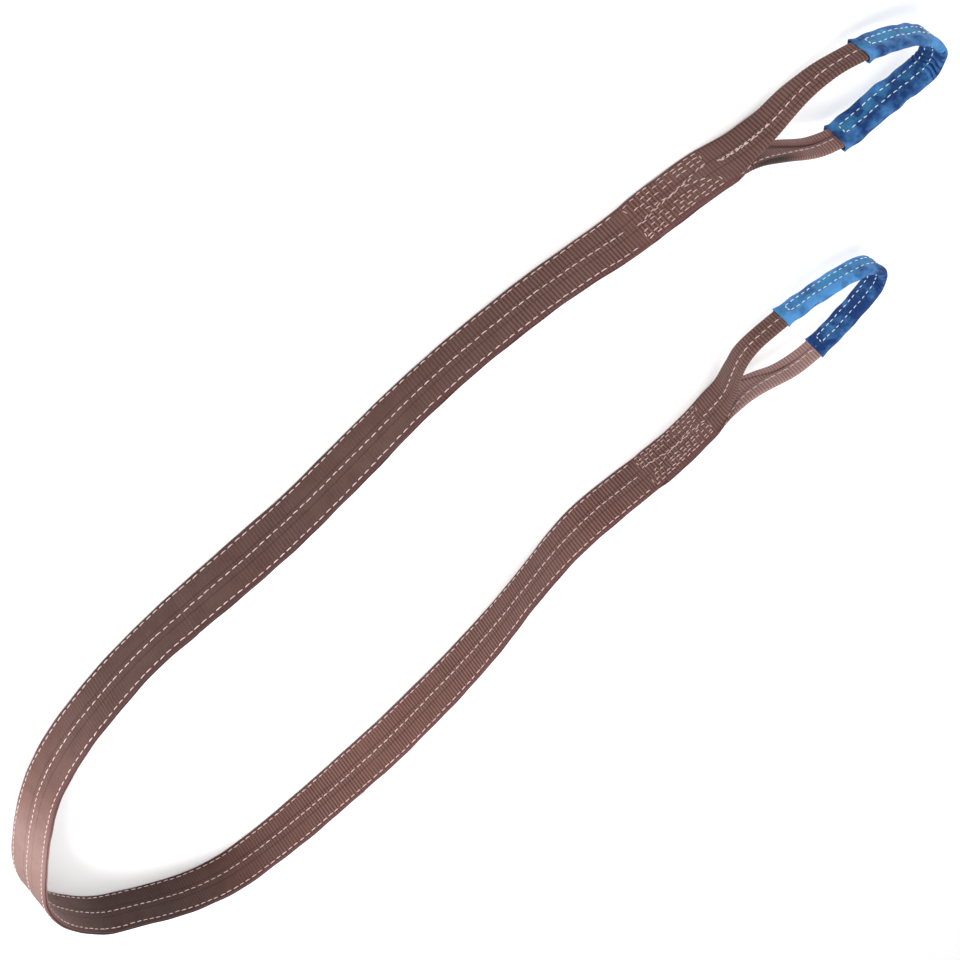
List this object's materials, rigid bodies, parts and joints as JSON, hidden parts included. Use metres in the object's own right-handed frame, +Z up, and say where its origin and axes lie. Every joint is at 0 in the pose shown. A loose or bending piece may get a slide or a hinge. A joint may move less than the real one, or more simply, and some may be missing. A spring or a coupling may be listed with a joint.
{
  "type": "eye-and-eye webbing sling",
  "caption": "Flat two-ply webbing lifting sling with a folded eye and a sewn wear sleeve at each end, standing on its edge in a long U.",
  "frame": {"origin": "middle of the sling's outline on the ground it stands on", "axes": "+X from the eyes to the turn of the U, +Y from strand a to strand b, +Z up across the web's width"},
  "size_m": [1.4129, 0.5426, 0.0577],
  "materials": {
    "web_brown": "woven polyester webbing with crosswise ribs",
    "sleeve_blue": "woven polyester wear sleeve",
    "seam_thread": "polyester sewing thread",
    "sleeve_thread": "polyester sewing thread"
  },
  "bodies": {
    "strand_a": {"inner_ply_a": "web_brown", "lower_seam_inner_a": "seam_thread", "centre_seam_inner_a": "seam_thread", "upper_seam_inner_a": "seam_thread", "outer_ply_a": "web_brown", "lower_seam_outer_a": "seam_thread", "centre_seam_outer_a": "seam_thread", "upper_seam_outer_a": "seam_thread"},
    "strand_b": {"inner_ply_b": "web_brown", "lower_seam_inner_b": "seam_thread", "centre_seam_inner_b": "seam_thread", "upper_seam_inner_b": "seam_thread", "outer_ply_b": "web_brown", "lower_seam_outer_b": "seam_thread", "centre_seam_outer_b": "seam_thread", "upper_seam_outer_b": "seam_thread"},
    "splice_a": {"inner_splice_ply_a": "web_brown", "splice_stitch_inner_a": "seam_thread", "outer_splice_ply_a": "web_brown", "splice_stitch_outer_a": "seam_thread", "splice_tail_a": "web_brown", "eye_web_a": "web_brown", "wear_sleeve_a": "sleeve_blue", "sleeve_stitch_near_a": "sleeve_thread", "sleeve_stitch_far_a": "sleeve_thread"},
    "splice_b": {"inner_splice_ply_b": "web_brown", "splice_stitch_inner_b": "seam_thread", "outer_splice_ply_b": "web_brown", "splice_stitch_outer_b": "seam_thread", "splice_tail_b": "web_brown", "eye_web_b": "web_brown", "wear_sleeve_b": "sleeve_blue", "sleeve_stitch_near_b": "sleeve_thread", "sleeve_stitch_far_b": "sleeve_thread"}
  },
  "joints": [
    {"name": "turn_flex", "type": "hinge", "parent": "strand_a", "child": "strand_b", "pos_m": [0.6999, 0.0248, 0], "axis": [0, 0, 1], "range_deg": [-50, 3]},
    {"name": "splice_a_flex", "type": "hinge", "parent": "strand_a", "child": "splice_a", "pos_m": [-0.3234, -0.222, 0], "axis": [0, 0, 1], "range_deg": [-20, 35]},
    {"name": "splice_b_flex", "type": "hinge", "parent": "strand_b", "child": "splice_b", "pos_m": [-0.1532, 0.1907, 0], "axis": [0, 0, 1], "range_deg": [-35, 15]}
  ]
}
